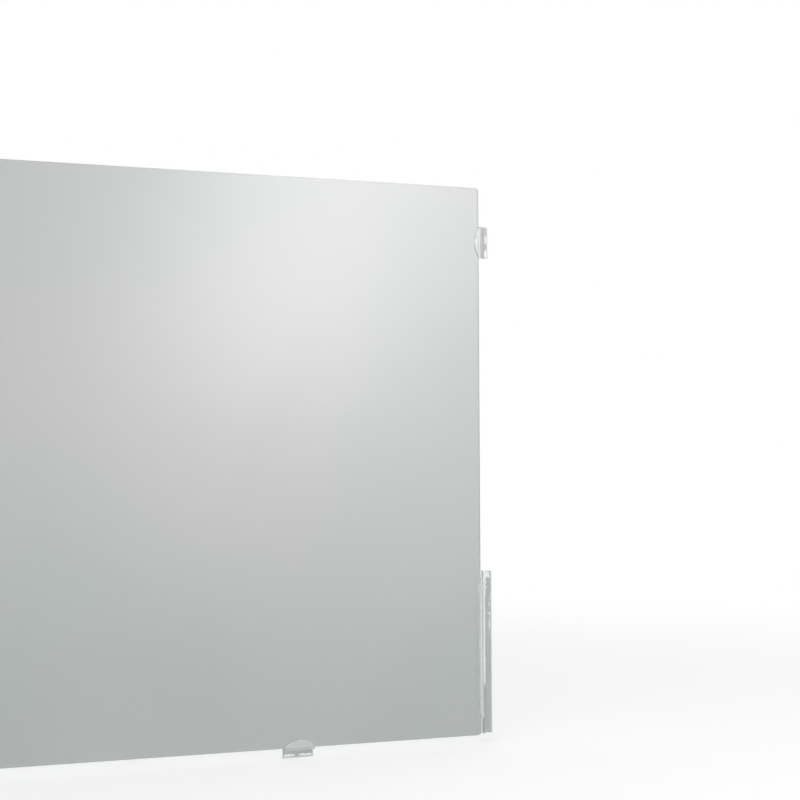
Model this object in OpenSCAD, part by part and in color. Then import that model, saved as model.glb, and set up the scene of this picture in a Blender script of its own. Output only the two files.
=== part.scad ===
// Blue light filter: one see-through film sheet that slides down behind six clear moulded
// retainers, each fixed to the flat face behind it by an adhesive pad.
// X runs to the right, Y to the back and Z up, in millimetres. The origin is the middle of
// the seated sheet, taken on the flat plane that the adhesive pads stick to (Y = 0).

/* [Filter sheet] */
// Width of the sheet
sheet_w = 531; // [300:1:700]
// Height of the sheet
sheet_h = 299; // [180:1:420]
// Thickness of the sheet
sheet_t = 0.8; // [0.4:0.1:2]
// Radius of the sheet's four corners
sheet_corner_r = 2; // [0.5:0.5:6]

/* [Clearances round the sheet] */
// Gap between the sheet and the plane behind it
back_gap = 0.4; // [0.2:0.1:1]
// Gap between the sheet's front face and the lips
front_gap = 1.3; // [0.5:0.1:2.5]
// Gap between the sheet's side edges and the walls beside them
side_gap = 0.8; // [0.3:0.1:2]

/* [Moulded strip of a retainer] */
// Thickness of the base, the wall and the lip
strip_t = 1; // [0.8:0.1:1.6]
// Radius of the bend's outer edge
bend_r = 0.8; // [0.3:0.1:1]
// Radius left in the two inner corners of the bend
root_r = 0.3; // [0.1:0.1:0.5]
// Radius on the free edges of the lip and the base
edge_r = 0.3; // [0.1:0.1:0.35]

/* [Half-round tab] */
// Length along the sheet's edge
tab_length = 17.4; // [12:0.2:26]
// Reach of the lip's middle over the sheet's side, from the wall
tab_lip = 4.4; // [3.4:0.1:7]
// Height of the lip's arc over its two ends
tab_bow = 2.8; // [1:0.1:3]
// Width of the base, with the wall
tab_base = 4.9; // [3.5:0.1:9]

/* [Long guide] */
// Length along the sheet's edge
guide_length = 88.5; // [60:0.5:120]
// Reach of the lip over the sheet's side, from the wall
guide_lip = 3; // [2:0.1:5]
// Width of the base, with the wall
guide_base = 6.2; // [4:0.1:10]
// Bare length of the wall above the lip
guide_head = 2; // [1:0.1:6]
// Length of the slanted lead-in at the lip's upper end
guide_lead = 4.3; // [2:0.1:9]
// Bare length of the wall below the lip
guide_foot = 7.2; // [3:0.1:12]
// Length of the slant at the lip's lower end
guide_cut = 4.1; // [2:0.1:9]
// Radius where a slant meets the lip's straight edge
guide_round = 2; // [0.5:0.1:3]
// Radius of the base's two outer corners
guide_corner_r = 0.8; // [0.3:0.1:2]

/* [Adhesive pad] */
// Thickness of a pad
pad_t = 0.5; // [0.3:0.1:1]
// Margin between a pad's outline and the outline of its base
pad_margin = 0.3; // [0.1:0.1:0.8]

/* [Places of the retainers] */
// Height of a guide's lower end over the sheet's lower edge
guide_rise = 1; // [0:0.5:20]
// Distance from the sheet's upper edge down to a side tab's middle
side_tab_drop = 30; // [15:1:90]
// Distance from the sheet's side edge to a bottom tab's middle
bottom_tab_inset = 111.8; // [30:0.2:135]

/* [Hidden] */

LEFT = -1;
RIGHT = 1;
round_fn = 64;
clear_plastic = [0.93, 0.95, 0.95, 0.6];
adhesive = [0.62, 0.63, 0.62, 0.8];
film = [0.62, 0.66, 0.64, 0.75];

base_top = pad_t + strip_t;
lip_under = back_gap + sheet_t + front_gap;
lip_top = lip_under + strip_t;
step_h = lip_top - base_top;
bend = min(bend_r, step_h / 2);
root = min(root_r, step_h / 4);
wall_x = sheet_w / 2 + side_gap;
seat_z = -sheet_h / 2;
tab_r = (pow(tab_length / 2, 2) + pow(tab_bow, 2)) / (2 * tab_bow);

// Direction of an angle in the plane
function heading(a) = [cos(a), sin(a)];

// The part of a corner that lies outside an arc of radius r tangent to both its sides.
// The corner is at the origin and its sides leave it at angles a and b. It is cut from a
// corner that sticks out, and added to one that turns in.
module corner_tip(r, a, b) {
    half = (b - a) / 2;
    middle = heading(a + half) * r / sin(half);
    reach = r / tan(half);
    difference() {
        polygon([[0, 0], reach * heading(a), middle, reach * heading(b)]);
        translate(middle) circle(r, $fn = round_fn);
    }
}

module rounded_plate(w, h, r) {
    difference() {
        translate([-w / 2, -h / 2]) square([w, h]);
        for (x = [-1, 1], y = [-1, 1])
            scale([x, y]) translate([-w / 2, -h / 2]) corner_tip(r, 0, 90);
    }
}

// Cross-section of a retainer: base, wall and lip bent from one strip. The wall's inner
// face is at x = 0, the lip lies on the side of -x and height runs along y.
module bent_strip(lip, base) {
    difference() {
        union() {
            translate([0, pad_t]) square([base, strip_t]);
            translate([0, pad_t]) square([strip_t, lip_top - pad_t]);
            translate([-lip, lip_under]) square([lip + strip_t, strip_t]);
            translate([strip_t, base_top]) corner_tip(root, 0, 90);
            translate([0, lip_under]) corner_tip(root, 180, 270);
        }
        translate([strip_t, lip_top]) corner_tip(bend, 180, 270);
        translate([-lip, lip_top]) corner_tip(edge_r, 270, 360);
        translate([-lip, lip_under]) corner_tip(edge_r, 0, 90);
        translate([base, base_top]) corner_tip(edge_r, 180, 270);
    }
}

// A strip of the given cross-section, cut to the outline that its first child draws in plan
module moulded_strip(lip, base, length) {
    intersection() {
        translate([0, length / 2, 0])
            rotate([90, 0, 0])
                linear_extrude(length) bent_strip(lip, base);
        linear_extrude(lip_top) children(0);
    }
}

// Outline of a half-round tab, with its length centred on the x axis
module tab_outline() {
    intersection() {
        translate([-tab_lip, -tab_length / 2]) square([tab_lip + tab_base, tab_length]);
        union() {
            translate([tab_r - tab_lip, 0]) circle(tab_r, $fn = 2 * round_fn);
            translate([0, -tab_length / 2]) square([tab_base, tab_length]);
        }
    }
}

// Outline of a long guide: a straight base, and a lip that slants back at both ends
module guide_outline() {
    top = guide_length / 2;
    lip_ends = [-top + guide_foot, top - guide_head];
    straight_ends = [lip_ends[0] + guide_cut, lip_ends[1] - guide_lead];
    cut_angle = atan2(guide_cut, guide_lip);
    lead_angle = atan2(guide_lead, guide_lip);
    difference() {
        polygon([
            [guide_base, -top],
            [guide_base, top],
            [0, top],
            [0, lip_ends[1]],
            [-guide_lip, straight_ends[1]],
            [-guide_lip, straight_ends[0]],
            [0, lip_ends[0]],
            [0, -top]
        ]);
        translate([-guide_lip, straight_ends[0]]) corner_tip(guide_round, -cut_angle, 90);
        translate([-guide_lip, straight_ends[1]]) corner_tip(guide_round, -90, lead_angle);
        translate([guide_base, -top]) corner_tip(guide_corner_r, 90, 180);
        translate([guide_base, top]) corner_tip(guide_corner_r, 180, 270);
    }
}

module tab() {
    color(clear_plastic) moulded_strip(tab_lip, tab_base, tab_length) tab_outline();
}

module guide() {
    color(clear_plastic) moulded_strip(guide_lip, guide_base, guide_length) guide_outline();
}

// Adhesive pad under a base of the given width and length
module pad(base, length) {
    pad_w = base - 2 * pad_margin;
    pad_length = length - 2 * pad_margin;
    color(adhesive)
        translate([base / 2, 0, 0])
            linear_extrude(pad_t) rounded_plate(pad_w, pad_length, pad_margin);
}

// The next two modules stand a retainer that was drawn flat against the mounting plane:
// beside the sheet at the given height, or under it at the given distance from the middle.
module beside_sheet(side, z) {
    scale([side, 1, 1]) translate([wall_x, 0, z]) rotate([90, 0, 0]) children();
}

module under_sheet(x) {
    translate([x, 0, seat_z]) rotate([90, 0, 0]) rotate([0, 0, -90]) children();
}

guide_z = seat_z + guide_rise + guide_length / 2;
side_tab_z = -seat_z - side_tab_drop;
bottom_tab_x = sheet_w / 2 - bottom_tab_inset;

module filter_sheet() {
    color(film)
        translate([0, -back_gap, 0])
            rotate([90, 0, 0])
                linear_extrude(sheet_t) rounded_plate(sheet_w, sheet_h, sheet_corner_r);
}

module left_guide() { beside_sheet(LEFT, guide_z) guide(); }
module right_guide() { beside_sheet(RIGHT, guide_z) guide(); }
module left_side_tab() { beside_sheet(LEFT, side_tab_z) tab(); }
module right_side_tab() { beside_sheet(RIGHT, side_tab_z) tab(); }
module left_bottom_tab() { under_sheet(-bottom_tab_x) tab(); }
module right_bottom_tab() { under_sheet(bottom_tab_x) tab(); }
module left_guide_pad() { beside_sheet(LEFT, guide_z) pad(guide_base, guide_length); }
module right_guide_pad() { beside_sheet(RIGHT, guide_z) pad(guide_base, guide_length); }
module left_side_tab_pad() { beside_sheet(LEFT, side_tab_z) pad(tab_base, tab_length); }
module right_side_tab_pad() { beside_sheet(RIGHT, side_tab_z) pad(tab_base, tab_length); }
module left_bottom_tab_pad() { under_sheet(-bottom_tab_x) pad(tab_base, tab_length); }
module right_bottom_tab_pad() { under_sheet(bottom_tab_x) pad(tab_base, tab_length); }

filter_sheet();
left_guide();
right_guide();
left_side_tab();
right_side_tab();
left_bottom_tab();
right_bottom_tab();
left_guide_pad();
right_guide_pad();
left_side_tab_pad();
right_side_tab_pad();
left_bottom_tab_pad();
right_bottom_tab_pad();
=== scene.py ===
import math

import bmesh
import bpy
from mathutils import Matrix, Vector, noise


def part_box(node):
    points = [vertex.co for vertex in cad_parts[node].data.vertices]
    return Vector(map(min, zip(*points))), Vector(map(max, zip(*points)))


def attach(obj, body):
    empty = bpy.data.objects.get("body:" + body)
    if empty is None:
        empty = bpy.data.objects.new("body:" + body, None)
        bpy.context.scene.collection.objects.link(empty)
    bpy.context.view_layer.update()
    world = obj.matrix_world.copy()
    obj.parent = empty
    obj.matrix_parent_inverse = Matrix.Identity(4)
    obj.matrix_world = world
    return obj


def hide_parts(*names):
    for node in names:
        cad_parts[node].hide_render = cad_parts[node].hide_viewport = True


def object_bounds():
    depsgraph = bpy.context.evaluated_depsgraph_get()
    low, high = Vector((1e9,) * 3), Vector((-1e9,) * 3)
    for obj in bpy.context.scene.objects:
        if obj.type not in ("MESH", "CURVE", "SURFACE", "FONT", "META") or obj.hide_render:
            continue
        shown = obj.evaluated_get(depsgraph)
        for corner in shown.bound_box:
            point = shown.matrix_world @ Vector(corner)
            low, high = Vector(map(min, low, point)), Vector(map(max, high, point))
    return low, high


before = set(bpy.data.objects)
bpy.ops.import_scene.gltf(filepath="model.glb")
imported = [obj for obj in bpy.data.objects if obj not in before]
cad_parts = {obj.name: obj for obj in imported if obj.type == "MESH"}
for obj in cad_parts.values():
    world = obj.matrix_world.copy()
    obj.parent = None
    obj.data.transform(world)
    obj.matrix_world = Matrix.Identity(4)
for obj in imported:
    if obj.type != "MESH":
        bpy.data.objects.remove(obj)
cad_low, cad_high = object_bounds()

# Camera
# It stands where the photograph was taken: about 1.2 m away, left of the sheet's middle and
# level with it, with a lens long enough that the right half of the sheet fills the frame.
CAMERA_PLACE = Vector((-0.3997, -1.1055, -0.0034))
CAMERA_TURN = math.radians(29.13)
CAMERA_TILT = math.radians(1.64)
CAMERA_ROLL = math.radians(0.30)
SENSOR_WIDTH_MM = 36.0
FOCAL_LENGTH_MM = 105.96
NEAREST_SEEN = 0.01
FURTHEST_SEEN = 50.0

ahead = Vector((
    math.sin(CAMERA_TURN) * math.cos(CAMERA_TILT),
    math.cos(CAMERA_TURN) * math.cos(CAMERA_TILT),
    math.sin(CAMERA_TILT),
))
level_right = Vector((math.cos(CAMERA_TURN), -math.sin(CAMERA_TURN), 0))
level_up = level_right.cross(ahead)
camera_right = math.cos(CAMERA_ROLL) * level_right - math.sin(CAMERA_ROLL) * level_up
camera_up = camera_right.cross(ahead)

camera_data = bpy.data.cameras.new("camera")
camera_data.sensor_width = SENSOR_WIDTH_MM
camera_data.lens = FOCAL_LENGTH_MM
camera_data.clip_start = NEAREST_SEEN
camera_data.clip_end = FURTHEST_SEEN
camera = bpy.data.objects.new("camera", camera_data)
bpy.context.scene.collection.objects.link(camera)
camera_axes = Matrix((camera_right, camera_up, -ahead)).transposed()
camera.matrix_world = Matrix.Translation(CAMERA_PLACE) @ camera_axes.to_4x4()
bpy.context.scene.camera = camera


# Filter sheet
# One sheet of grey see-through film, cut from flat stock with its four corners rounded. It
# isn't fixed: it stands on the two bottom tabs, behind the lips of all six retainers.
SHEET_CORNER_RADIUS = 0.002
SHEET_CORNER_SEGMENTS = 8
SHEET_EDGE_BREAK = 0.00012
SHEET_EDGE_SEGMENTS = 2
WELD_DISTANCE = 1e-6
FILM_GREY = (0.48, 0.485, 0.48, 1)
FILM_TEAL = (0.42, 0.465, 0.45, 1)
FILM_MAUVE = (0.48, 0.465, 0.48, 1)
FILM_TO_LAMPS = (0.78, 0.79, 0.78, 1)
FILM_ROUGHNESS = 0.26
FILM_IOR = 1.5
RIPPLE_STRENGTH = 0.2
RIPPLE_HEIGHT = 0.001
CUT_EDGE_DARK = (0.4, 0.43, 0.42, 1)
CUT_EDGE_LIGHT = (0.55, 0.58, 0.57, 1)
CUT_EDGE_ROUGHNESS = 0.45


def new_material(name):
    """A material with an empty tree but for its Principled shader and its output."""
    material = bpy.data.materials.new(name)
    material.use_nodes = True
    tree = material.node_tree
    shader = tree.nodes["Principled BSDF"]
    return material, tree, shader


def fill_socket(tree, socket, value):
    """Links another node's output to a socket, or sets the socket to a plain value."""
    if isinstance(value, bpy.types.NodeSocket):
        tree.links.new(value, socket)
    else:
        socket.default_value = value


def add_node(tree, kind, inputs=None, **settings):
    """Adds a node with the given properties, and fills the inputs that are named."""
    node = tree.nodes.new(kind)
    for name, value in settings.items():
        setattr(node, name, value)
    for name, value in (inputs or {}).items():
        fill_socket(tree, node.inputs[name], value)
    return node


def add_noise(tree, place, scale, detail, roughness):
    """Cloudy noise about a middle of 0.5, on the given coordinates."""
    values = {"Vector": place, "Scale": scale, "Detail": detail, "Roughness": roughness}
    return add_node(tree, "ShaderNodeTexNoise", values).outputs[0]


def mix_colours(tree, factor, first, second):
    """The colour between two others, by a factor from 0 to 1."""
    # The node has sockets of other kinds by the same names, so its colours go by number.
    node = add_node(tree, "ShaderNodeMix", data_type="RGBA")
    fill_socket(tree, node.inputs[0], factor)
    fill_socket(tree, node.inputs[6], first)
    fill_socket(tree, node.inputs[7], second)
    return node.outputs[2]


def map_range(tree, value, low, high, to_low=0, to_high=1):
    """A value moved from one range to another, eased at both ends."""
    ranges = {"From Min": low, "From Max": high, "To Min": to_low, "To Max": to_high}
    return add_node(
        tree,
        "ShaderNodeMapRange",
        {"Value": value, **ranges},
        interpolation_type="SMOOTHSTEP",
    ).outputs[0]


def let_lamps_through(tree, shader, tint):
    """Lets lamp light pass a see-through surface, so that it reaches what lies behind."""
    path = add_node(tree, "ShaderNodeLightPath").outputs
    passing = add_node(tree, "ShaderNodeBsdfTransparent", {"Color": tint})
    surface = add_node(
        tree,
        "ShaderNodeMixShader",
        {0: path["Is Shadow Ray"], 1: shader.outputs[0], 2: passing.outputs[0]},
    )
    tree.links.new(surface.outputs[0], tree.nodes["Material Output"].inputs["Surface"])


film, film_tree, film_shader = new_material("film")
film_place = add_node(film_tree, "ShaderNodeTexCoord").outputs["Object"]
cloud = add_noise(film_tree, film_place, scale=4.0, detail=1.0, roughness=0.4)
blotch = add_noise(film_tree, film_place, scale=11.0, detail=2.0, roughness=0.5)
ripple = add_noise(film_tree, film_place, scale=9.0, detail=1.0, roughness=0.3)
teal_share = map_range(film_tree, cloud, low=0.42, high=0.68)
mauve_share = map_range(film_tree, blotch, low=0.5, high=0.75, to_high=0.6)
clouded = mix_colours(film_tree, teal_share, FILM_GREY, FILM_TEAL)
blotched = mix_colours(film_tree, mauve_share, clouded, FILM_MAUVE)
film_tree.links.new(blotched, film_shader.inputs["Base Color"])
rippled = add_node(
    film_tree,
    "ShaderNodeBump",
    {"Height": ripple, "Strength": RIPPLE_STRENGTH, "Distance": RIPPLE_HEIGHT},
)
film_tree.links.new(rippled.outputs[0], film_shader.inputs["Normal"])
film_shader.inputs["Roughness"].default_value = FILM_ROUGHNESS
film_shader.inputs["IOR"].default_value = FILM_IOR
film_shader.inputs["Transmission Weight"].default_value = 1.0
let_lamps_through(film_tree, film_shader, FILM_TO_LAMPS)


def new_group(name, kind, inputs, outputs):
    """A node group with named inputs and outputs, and the sockets its inputs come in by."""
    tree = bpy.data.node_groups.new(name, kind)
    for side, sockets in (("INPUT", inputs), ("OUTPUT", outputs)):
        for label, value_kind in sockets.items():
            tree.interface.new_socket(label, in_out=side, socket_type="NodeSocket" + value_kind)
    return tree, add_node(tree, "NodeGroupInput").outputs


def mottle_group():
    """Shader nodes that mottle a surface between two tones, as cutting and moulding leave it."""
    tree, given = new_group(
        "mottle",
        "ShaderNodeTree",
        {
            "Place": "Vector",
            "Scale": "Float",
            "Detail": "Float",
            "Roughness": "Float",
            "Dark Tone": "Color",
            "Light Tone": "Color",
        },
        {"Colour": "Color", "Amount": "Float"},
    )
    marks = add_noise(tree, given["Place"], given["Scale"], given["Detail"], given["Roughness"])
    colour = mix_colours(tree, marks, given["Dark Tone"], given["Light Tone"])
    add_node(tree, "NodeGroupOutput", {"Colour": colour, "Amount": marks})
    return tree


mottle = mottle_group()


def add_mottle(tree, dark_tone, light_tone, scale, detail, roughness):
    """Places the mottle group in a material, on the piece's own coordinates."""
    values = {
        "Place": add_node(tree, "ShaderNodeTexCoord").outputs["Object"],
        "Scale": scale,
        "Detail": detail,
        "Roughness": roughness,
        "Dark Tone": dark_tone,
        "Light Tone": light_tone,
    }
    return add_node(tree, "ShaderNodeGroup", values, node_tree=mottle).outputs


cut_edge, cut_edge_tree, cut_edge_shader = new_material("film_cut_edge")
cut_marks = add_mottle(
    cut_edge_tree, CUT_EDGE_DARK, CUT_EDGE_LIGHT, scale=900.0, detail=2.0, roughness=0.5
)
cut_edge_tree.links.new(cut_marks["Colour"], cut_edge_shader.inputs["Base Color"])
cut_edge_shader.inputs["Roughness"].default_value = CUT_EDGE_ROUGHNESS


def film_sheet_tree():
    """Geometry nodes that cut a sheet with round corners and give its rim its own material."""
    tree, given = new_group(
        "film_sheet",
        "GeometryNodeTree",
        {
            "Width": "Float",
            "Height": "Float",
            "Thickness": "Float",
            "Corner Radius": "Float",
            "Corner Segments": "Int",
            "Film": "Material",
            "Cut Edge": "Material",
        },
        {"Sheet": "Geometry"},
    )
    outline = add_node(
        tree,
        "GeometryNodeCurvePrimitiveQuadrilateral",
        {"Width": given["Width"], "Height": given["Height"]},
    )
    rounded = add_node(
        tree,
        "GeometryNodeFilletCurve",
        {
            "Curve": outline.outputs[0],
            "Radius": given["Corner Radius"],
            "Count": given["Corner Segments"],
        },
        mode="POLY",
    )
    back = add_node(tree, "GeometryNodeFillCurve", {"Curve": rounded.outputs[0]}, mode="NGONS")
    raised = add_node(
        tree,
        "GeometryNodeExtrudeMesh",
        {"Mesh": back.outputs[0], "Offset Scale": given["Thickness"], "Individual": False},
        mode="FACES",
    )
    turned = add_node(tree, "GeometryNodeFlipFaces", {"Mesh": back.outputs[0]})
    filmed = add_node(
        tree,
        "GeometryNodeSetMaterial",
        {"Geometry": raised.outputs["Mesh"], "Material": given["Film"]},
    )
    rimmed = add_node(
        tree,
        "GeometryNodeSetMaterial",
        {
            "Geometry": filmed.outputs[0],
            "Selection": raised.outputs["Side"],
            "Material": given["Cut Edge"],
        },
    )
    backed = add_node(
        tree,
        "GeometryNodeSetMaterial",
        {"Geometry": turned.outputs[0], "Material": given["Film"]},
    )
    joined = add_node(tree, "GeometryNodeJoinGeometry")
    tree.links.new(rimmed.outputs[0], joined.inputs[0])
    tree.links.new(backed.outputs[0], joined.inputs[0])
    welded = add_node(
        tree,
        "GeometryNodeMergeByDistance",
        {"Geometry": joined.outputs[0], "Distance": WELD_DISTANCE},
    )
    add_node(tree, "NodeGroupOutput", {"Sheet": welded.outputs[0]})
    return tree


def run_nodes(name, mesh, tree, values):
    """Runs a geometry node tree on a mesh and returns its result as a plain object."""
    carrier = bpy.data.objects.new(name + "_maker", mesh)
    bpy.context.scene.collection.objects.link(carrier)
    modifier = carrier.modifiers.new("nodes", "NODES")
    modifier.node_group = tree
    for item in tree.interface.items_tree:
        if item.in_out == "INPUT" and item.name in values:
            modifier[item.identifier] = values[item.name]
    evaluated = carrier.evaluated_get(bpy.context.evaluated_depsgraph_get())
    result = bpy.data.meshes.new_from_object(evaluated)
    result.name = name
    bpy.data.objects.remove(carrier)
    piece = bpy.data.objects.new(name, result)
    bpy.context.scene.collection.objects.link(piece)
    return piece


sheet_low, sheet_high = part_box("filter_sheet")
sheet_size = sheet_high - sheet_low
sheet_middle = (sheet_low + sheet_high) / 2
sheet = run_nodes("film_sheet", bpy.data.meshes.new("film_stock"), film_sheet_tree(), {
    "Width": sheet_size.x,
    "Height": sheet_size.z,
    "Thickness": sheet_size.y,
    "Corner Radius": SHEET_CORNER_RADIUS,
    "Corner Segments": SHEET_CORNER_SEGMENTS,
    "Film": film,
    "Cut Edge": cut_edge,
})
stand_up = Matrix.Rotation(math.radians(90), 4, "X")
sheet.data.transform(Matrix.Translation((sheet_middle.x, sheet_high.y, sheet_middle.z)) @ stand_up)
edge_break = sheet.modifiers.new("edge_break", "BEVEL")
edge_break.width = SHEET_EDGE_BREAK
edge_break.segments = SHEET_EDGE_SEGMENTS
edge_break.limit_method = "ANGLE"
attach(sheet, "filter")
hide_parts("filter_sheet")


# Clear retainers
# Six mouldings of clear plastic, each bent like a step: a flat base, a wall beside the sheet
# and a lip in front of it. Their edges are slightly rounded from the mould.
RETAINERS = (
    "left_guide",
    "right_guide",
    "left_side_tab",
    "right_side_tab",
    "left_bottom_tab",
    "right_bottom_tab",
)
MOULDED_EDGE_RADIUS = 0.00014
MOULDED_EDGE_SEGMENTS = 3
FLAT_UNDER = math.radians(1)
SMOOTH_UNDER = math.radians(28)
CLEAR_DARK = (0.9, 0.91, 0.91, 1)
CLEAR_LIGHT = (0.97, 0.98, 0.98, 1)
CLEAR_DEEP = (0.45, 0.5, 0.49, 1)
CLEAR_TO_LAMPS = (0.95, 0.96, 0.96, 1)
CLEAR_TRANSMISSION = 0.88
CLEAR_IOR = 1.5
CLEAR_DENSITY = 120.0

clear, clear_tree, clear_shader = new_material("clear_plastic")
flow = add_mottle(clear_tree, CLEAR_DARK, CLEAR_LIGHT, scale=260.0, detail=3.0, roughness=0.55)
clear_tree.links.new(flow["Colour"], clear_shader.inputs["Base Color"])
dulled = map_range(clear_tree, flow["Amount"], low=0.3, high=0.7, to_low=0.03, to_high=0.12)
clear_tree.links.new(dulled, clear_shader.inputs["Roughness"])
clear_shader.inputs["Transmission Weight"].default_value = CLEAR_TRANSMISSION
clear_shader.inputs["IOR"].default_value = CLEAR_IOR
let_lamps_through(clear_tree, clear_shader, CLEAR_TO_LAMPS)
body_tint = add_node(
    clear_tree, "ShaderNodeVolumeAbsorption", {"Color": CLEAR_DEEP, "Density": CLEAR_DENSITY}
)
clear_tree.links.new(body_tint.outputs[0], clear_tree.nodes["Material Output"].inputs["Volume"])


def refined_copy(name, node):
    """A copy of a solid's mesh with its triangles joined into clean faces."""
    shape = bmesh.new()
    shape.from_mesh(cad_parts[node].data)
    bmesh.ops.remove_doubles(shape, verts=shape.verts, dist=WELD_DISTANCE)
    bmesh.ops.dissolve_limit(
        shape, angle_limit=FLAT_UNDER, verts=shape.verts, edges=shape.edges
    )
    for face in shape.faces:
        face.smooth = True
    mesh = bpy.data.meshes.new(name)
    shape.to_mesh(mesh)
    shape.free()
    mesh.set_sharp_from_angle(angle=SMOOTH_UNDER)
    piece = bpy.data.objects.new(name, mesh)
    bpy.context.scene.collection.objects.link(piece)
    return piece


def round_edges(piece, radius, segments):
    """Rounds a piece's sharp edges with a bevel."""
    bevel = piece.modifiers.new("rounded_edges", "BEVEL")
    bevel.width = radius
    bevel.segments = segments
    bevel.limit_method = "ANGLE"
    bevel.angle_limit = SMOOTH_UNDER


for node in RETAINERS:
    retainer = refined_copy("moulded_" + node, node)
    retainer.data.materials.append(clear)
    round_edges(retainer, MOULDED_EDGE_RADIUS, MOULDED_EDGE_SEGMENTS)
    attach(retainer, "retainers")
    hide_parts(node)


# Adhesive pads
# A strip of grey double-sided tape presses each base to the flat face behind it. Where it
# hasn't wetted the plastic, the air shows through the base as pale patches with ragged edges.
PATCH_CELL = 0.0002
PAD_CORNER_RADIUS = 0.0003
GLUE_LINE = 0.00002
WALL_GAP = 0.0008
MM_PER_METRE = 1000
COARSE_FRAY = 700
FINE_FRAY = 1500
FINE_FRAY_SHARE = 0.5
TAPE_DARK = (0.2, 0.203, 0.2, 1)
TAPE_LIGHT = (0.28, 0.283, 0.28, 1)
TAPE_ROUGHNESS = 0.4
TAPE_ALPHA = 0.78
AIR_PALE = (0.88, 0.885, 0.88, 1)
AIR_ALPHA = 0.85

adhesive, adhesive_tree, adhesive_shader = new_material("adhesive")
share_of_air = add_node(adhesive_tree, "ShaderNodeAttribute", attribute_name="air").outputs["Fac"]
tape = add_mottle(adhesive_tree, TAPE_DARK, TAPE_LIGHT, scale=700.0, detail=3.0, roughness=0.6)
fray = add_mottle(adhesive_tree, TAPE_DARK, TAPE_LIGHT, scale=2600.0, detail=2.0, roughness=0.6)
frayed = add_node(
    adhesive_tree, "ShaderNodeMath", {0: fray["Amount"], 1: share_of_air}, operation="ADD"
)
air = map_range(adhesive_tree, frayed.outputs[0], low=0.78, high=1.22)
tape_and_air = mix_colours(adhesive_tree, air, tape["Colour"], AIR_PALE)
covering = map_range(adhesive_tree, air, low=0, high=1, to_low=TAPE_ALPHA, to_high=AIR_ALPHA)
adhesive_tree.links.new(tape_and_air, adhesive_shader.inputs["Base Color"])
adhesive_tree.links.new(covering, adhesive_shader.inputs["Alpha"])
adhesive_shader.inputs["Roughness"].default_value = TAPE_ROUGHNESS


def ease(value, low, high):
    """0 below low, 1 above high, and eased between them."""
    share = min(max((value - low) / (high - low), 0), 1)
    return share * share * (3 - 2 * share)


def patch(value, rise, fall):
    """1 inside a patch and 0 outside, eased over a span of millimetres at each end."""
    return ease(value, *rise) * (1 - ease(value, *fall))


def guide_air(across, along, wander):
    """Share of air under a guide's base, by millimetres from the wall and from the head."""
    head_top = ease(along + 0.5 * wander, 0.7, 1.0)
    head_bottom = 1 - ease(along + 0.8 * wander, 3.6, 4.0)
    head = head_top * head_bottom * (1 - ease(across + 0.7 * wander, 4.6, 4.9))
    band_width = 2.4 - 0.7 * ease(along, 12, 14) + 0.6 * wander
    band = (1 - ease(across, band_width, band_width + 0.3)) * (1 - ease(along, 56, 68))
    row_length = patch(along, rise=(9, 13), fall=(30, 36))
    row_width = patch(across, rise=(4.3, 4.7), fall=(5.3, 5.6))
    row = row_width * row_length * ease(wander, 0.0, 0.3)
    return max(head, band, row)


def side_tab_air(across, along, wander):
    """Share of air under a side tab's base, in two short patches at its outer edge."""
    outer = ease(across + 0.5 * wander, 3.1, 3.4) * (1 - ease(across, 4.1, 4.35))
    upper = patch(along, rise=(4.6, 5.4), fall=(8.6, 9.4))
    lower = patch(along, rise=(12.0, 13.0), fall=(16.4, 16.8))
    return outer * max(0.8 * upper, lower)


def bottom_tab_air(across, along, wander):
    """Share of air under a bottom tab's base, in two dashes that leave its middle clear."""
    outer = ease(across + 0.4 * wander, 2.9, 3.2) * (1 - ease(across, 3.9, 4.15))
    middle = patch(along, rise=(6.2, 7.4), fall=(8.8, 9.8))
    ends = patch(along + 0.5 * wander, rise=(0.7, 1.0), fall=(16.3, 16.6))
    return outer * ends * (1 - middle)


def air_share(node, low, high, x, z):
    """Share of air under a retainer at a place in the frame, from its box's two corners."""
    coarse = noise.noise(Vector((x, z, 0)) * COARSE_FRAY)
    fine = noise.noise(Vector((x, z, 0.01)) * FINE_FRAY)
    wander = coarse + FINE_FRAY_SHARE * fine
    if "bottom" in node:
        across = MM_PER_METRE * (sheet_low.z - z)
        along = MM_PER_METRE * (x - low.x)
        return bottom_tab_air(across, along, wander)
    across = MM_PER_METRE * (abs(x) - sheet_high.x - WALL_GAP)
    along = MM_PER_METRE * (high.z - z)
    if "side" in node:
        return side_tab_air(across, along, wander)
    return guide_air(across, along, wander)


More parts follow.
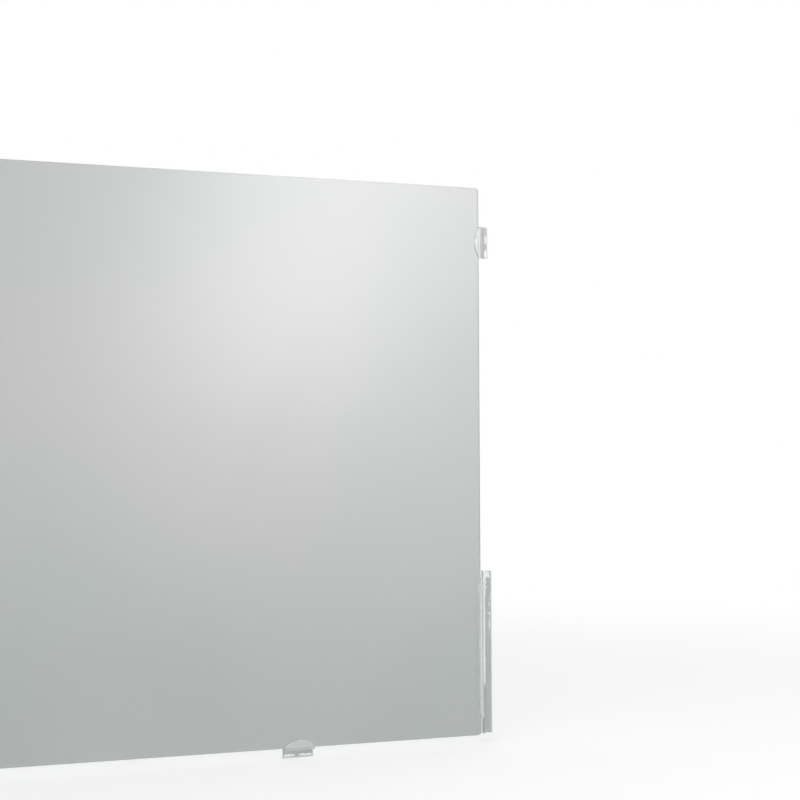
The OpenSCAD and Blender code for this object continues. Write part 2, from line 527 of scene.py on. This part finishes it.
def pad_face(node):
    """A fine grid over the front of a pad, with the share of air at each of its points."""
    low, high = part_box(node + "_pad")
    base_low, base_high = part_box(node)
    columns = round((high.x - low.x) / PATCH_CELL)
    rows = round((high.z - low.z) / PATCH_CELL)
    shape = bmesh.new()
    share = shape.verts.layers.float.new("air")
    grid = []
    for row in range(rows + 1):
        line = []
        for column in range(columns + 1):
            x = low.x + (high.x - low.x) * column / columns
            z = low.z + (high.z - low.z) * row / rows
            corner_x = min(max(x, low.x + PAD_CORNER_RADIUS), high.x - PAD_CORNER_RADIUS)
            corner_z = min(max(z, low.z + PAD_CORNER_RADIUS), high.z - PAD_CORNER_RADIUS)
            offset = Vector((x - corner_x, z - corner_z))
            if offset.length > PAD_CORNER_RADIUS:
                offset = offset.normalized() * PAD_CORNER_RADIUS
            x = corner_x + offset.x
            z = corner_z + offset.y
            vertex = shape.verts.new((x, low.y + GLUE_LINE, z))
            vertex[share] = air_share(node, base_low, base_high, x, z)
            line.append(vertex)
        grid.append(line)
    for lower, upper in zip(grid, grid[1:]):
        for column in range(columns):
            shape.faces.new((lower[column], lower[column + 1], upper[column + 1], upper[column]))
    mesh = bpy.data.meshes.new(node + "_face")
    shape.to_mesh(mesh)
    shape.free()
    return mesh


def pad_tree():
    """Geometry nodes that give the face of a pad its thickness and its material."""
    tree, given = new_group(
        "adhesive_pad",
        "GeometryNodeTree",
        {"Face": "Geometry", "Thickness": "Float", "Tape": "Material"},
        {"Pad": "Geometry"},
    )
    turned = add_node(tree, "GeometryNodeFlipFaces", {"Mesh": given["Face"]})
    deepened = add_node(
        tree,
        "GeometryNodeExtrudeMesh",
        {"Mesh": turned.outputs[0], "Offset Scale": given["Thickness"], "Individual": False},
        mode="FACES",
    )
    joined = add_node(tree, "GeometryNodeJoinGeometry")
    tree.links.new(deepened.outputs["Mesh"], joined.inputs[0])
    tree.links.new(given["Face"], joined.inputs[0])
    welded = add_node(
        tree,
        "GeometryNodeMergeByDistance",
        {"Geometry": joined.outputs[0], "Distance": WELD_DISTANCE},
    )
    finished = add_node(
        tree,
        "GeometryNodeSetMaterial",
        {"Geometry": welded.outputs[0], "Material": given["Tape"]},
    )
    add_node(tree, "NodeGroupOutput", {"Pad": finished.outputs[0]})
    return tree


adhesive_pad_tree = pad_tree()
for node in RETAINERS:
    pad_low, pad_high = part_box(node + "_pad")
    pad = run_nodes("pressed_" + node + "_pad", pad_face(node), adhesive_pad_tree, {
        "Thickness": pad_high.y - pad_low.y - GLUE_LINE,
        "Tape": adhesive,
    })
    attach(pad, "retainers")
    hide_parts(node + "_pad")


# Air bubbles
# The air caught between tape and plastic is a froth of small flat bubbles. They lie under each
# base, closest together in the middle of a patch.
BUBBLE_RADIUS = 0.00024
BUBBLE_LEAST_SCALE = (0.3, 0.12, 0.3)
BUBBLE_MOST_SCALE = (1.0, 0.18, 1.2)
BUBBLES_PER_SQUARE_METRE = 7e6
BUBBLE_DEPTH = 0.00005
BUBBLE_DARK = (0.82, 0.82, 0.82, 1)
BUBBLE_LIGHT = (0.95, 0.95, 0.95, 1)
BUBBLE_ROUGHNESS = 0.5
BUBBLE_ALPHA = 0.6

bubble_white, bubble_tree, bubble_shader = new_material("air_bubble")
frost = add_mottle(bubble_tree, BUBBLE_DARK, BUBBLE_LIGHT, scale=2500.0, detail=2.0, roughness=0.5)
bubble_tree.links.new(frost["Colour"], bubble_shader.inputs["Base Color"])
bubble_shader.inputs["Roughness"].default_value = BUBBLE_ROUGHNESS
bubble_shader.inputs["Alpha"].default_value = BUBBLE_ALPHA


def air_bubble_tree():
    """Geometry nodes that scatter flat bubbles over a face, as its air attribute says."""
    tree, given = new_group(
        "air_bubbles",
        "GeometryNodeTree",
        {
            "Face": "Geometry",
            "Density": "Float",
            "Radius": "Float",
            "Least Scale": "Vector",
            "Most Scale": "Vector",
            "Seed": "Int",
            "Air": "Material",
        },
        {"Bubbles": "Geometry"},
    )
    share = add_node(tree, "GeometryNodeInputNamedAttribute", {"Name": "air"}, data_type="FLOAT")
    density = add_node(
        tree, "ShaderNodeMath", {0: share.outputs[0], 1: given["Density"]}, operation="MULTIPLY"
    )
    points = add_node(
        tree,
        "GeometryNodeDistributePointsOnFaces",
        {"Mesh": given["Face"], "Density": density.outputs[0], "Seed": given["Seed"]},
        distribute_method="RANDOM",
    )
    bubble = add_node(
        tree, "GeometryNodeMeshIcoSphere", {"Radius": given["Radius"], "Subdivisions": 1}
    )
    spread = add_node(
        tree,
        "FunctionNodeRandomValue",
        {"Min": given["Least Scale"], "Max": given["Most Scale"], "Seed": given["Seed"]},
        data_type="FLOAT_VECTOR",
    )
    placed = add_node(
        tree,
        "GeometryNodeInstanceOnPoints",
        {"Points": points.outputs[0], "Instance": bubble.outputs[0], "Scale": spread.outputs[0]},
    )
    real = add_node(tree, "GeometryNodeRealizeInstances", {"Geometry": placed.outputs[0]})
    smooth = add_node(tree, "GeometryNodeSetShadeSmooth", {"Geometry": real.outputs[0]})
    finished = add_node(
        tree,
        "GeometryNodeSetMaterial",
        {"Geometry": smooth.outputs[0], "Material": given["Air"]},
    )
    add_node(tree, "NodeGroupOutput", {"Bubbles": finished.outputs[0]})
    return tree


bubbles_tree = air_bubble_tree()
for seed, node in enumerate(RETAINERS):
    bubbles = run_nodes(node + "_air_bubbles", pad_face(node), bubbles_tree, {
        "Density": BUBBLES_PER_SQUARE_METRE,
        "Radius": BUBBLE_RADIUS,
        "Least Scale": BUBBLE_LEAST_SCALE,
        "Most Scale": BUBBLE_MOST_SCALE,
        "Seed": seed,
        "Air": bubble_white,
    })
    bubbles.data.transform(Matrix.Translation((0, BUBBLE_DEPTH, 0)))
    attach(bubbles, "retainers")


# Floor and background
# A pale floor right under the bottom tabs, and a background that is white all round. The floor
# is lit by the lamps near the object, and fades into the white background further away.
FLOOR_DROP = 0.0002
FLOOR_SIZE = 40.0
FLOOR_PALE = (0.92, 0.92, 0.92, 1)
FLOOR_ROUGHNESS = 0.8
FLOOR_SHINE = 0.1
FLOOR_GLOW = 0.1
FADE_START = 0.5
FADE_END = 1.6
WHITE = (1, 1, 1, 1)
AMBIENT_LEVEL = 0.55

floor_mesh = bpy.data.meshes.new("floor")
half_floor = FLOOR_SIZE / 2
floor_mesh.from_pydata(
    [(x * half_floor, y * half_floor, 0) for x, y in ((-1, -1), (1, -1), (1, 1), (-1, 1))],
    [],
    [(0, 1, 2, 3)],
)
floor_mesh.transform(Matrix.Translation((0, 0, cad_low.z - FLOOR_DROP)))
floor = bpy.data.objects.new("floor", floor_mesh)
bpy.context.scene.collection.objects.link(floor)


def add_math(tree, operation, first, second):
    """One step of arithmetic on two values."""
    return add_node(tree, "ShaderNodeMath", {0: first, 1: second}, operation=operation).outputs[0]


floor_material, floor_tree, floor_shader = new_material("floor")
floor_shader.inputs["Base Color"].default_value = FLOOR_PALE
floor_shader.inputs["Roughness"].default_value = FLOOR_ROUGHNESS
floor_shader.inputs["Specular IOR Level"].default_value = FLOOR_SHINE
floor_shader.inputs["Emission Color"].default_value = WHITE
floor_path = add_node(floor_tree, "ShaderNodeLightPath").outputs
# The glow and the white are seen, but they put no light on the object.
lights_nothing = add_math(floor_tree, "SUBTRACT", 1.0, floor_path["Is Diffuse Ray"])
glow = add_math(floor_tree, "MULTIPLY", lights_nothing, FLOOR_GLOW)
floor_tree.links.new(glow, floor_shader.inputs["Emission Strength"])
floor_place = add_node(floor_tree, "ShaderNodeTexCoord").outputs["Object"]
floor_distance = add_node(floor_tree, "ShaderNodeVectorMath", {0: floor_place}, operation="LENGTH")
far_off = map_range(floor_tree, floor_distance.outputs["Value"], low=FADE_START, high=FADE_END)
white_share = add_math(floor_tree, "MULTIPLY", lights_nothing, far_off)
white_glow = add_node(floor_tree, "ShaderNodeEmission", {"Color": WHITE})
lit_floor = add_node(
    floor_tree,
    "ShaderNodeMixShader",
    {0: white_share, 1: floor_shader.outputs[0], 2: white_glow.outputs[0]},
)
see_through = add_node(floor_tree, "ShaderNodeBsdfTransparent")
from_below = add_node(floor_tree, "ShaderNodeNewGeometry").outputs["Backfacing"]
one_sided = add_node(
    floor_tree,
    "ShaderNodeMixShader",
    {0: from_below, 1: lit_floor.outputs[0], 2: see_through.outputs[0]},
)
floor_tree.links.new(one_sided.outputs[0], floor_tree.nodes["Material Output"].inputs["Surface"])
floor_mesh.materials.append(floor_material)

world = bpy.data.worlds.new("world")
bpy.context.scene.world = world
world.use_nodes = True
world_tree = world.node_tree
background = world_tree.nodes["Background"]
background.inputs["Color"].default_value = WHITE
ray = add_node(world_tree, "ShaderNodeLightPath").outputs
looked_at = add_math(world_tree, "MAXIMUM", ray["Is Camera Ray"], ray["Is Transmission Ray"])
seen = add_math(world_tree, "MAXIMUM", looked_at, ray["Is Glossy Ray"])
level = map_range(world_tree, seen, low=0, high=1, to_low=AMBIENT_LEVEL)
world_tree.links.new(level, background.inputs["Strength"])


# Lamps
# Three softboxes that the camera doesn't see: a large one high on the left, a dim one behind
# on the right, and a narrow one whose soft reflection makes the upper part of the sheet pale.
def soft_light(name, place, aim, width, height, watts, lean=0.0):
    """A rectangular softbox that faces the point it is aimed at, hidden from the camera."""
    data = bpy.data.lights.new(name, "AREA")
    data.shape = "RECTANGLE"
    data.size = width
    data.size_y = height
    data.energy = watts
    light = bpy.data.objects.new(name, data)
    light.visible_camera = False
    bpy.context.scene.collection.objects.link(light)
    facing = (Vector(aim) - Vector(place)).to_track_quat("-Z", "Y")
    leaning = Matrix.Rotation(-lean, 4, "Z")
    light.matrix_world = Matrix.Translation(place) @ facing.to_matrix().to_4x4() @ leaning
    return light


soft_light("key_light", place=(-1.0, -1.4, 1.8), aim=(0, 0, 0), width=1.4, height=1.4, watts=21)
soft_light("rim_light", place=(1.5, 0.8, 1.2), aim=(0.2, 0, 0), width=1.2, height=1.6, watts=6)
sheet_light = soft_light(
    "sheet_light",
    place=(0.92, -1.45, 0.40),
    aim=(0.2, 0, 0),
    width=0.25,
    height=0.7,
    watts=7.8,
    lean=math.radians(15),
)
# Through the film, from behind, this lamp would show as a glaring patch.
sheet_light.visible_transmission = False

bpy.context.scene.view_settings.view_transform = "Standard"
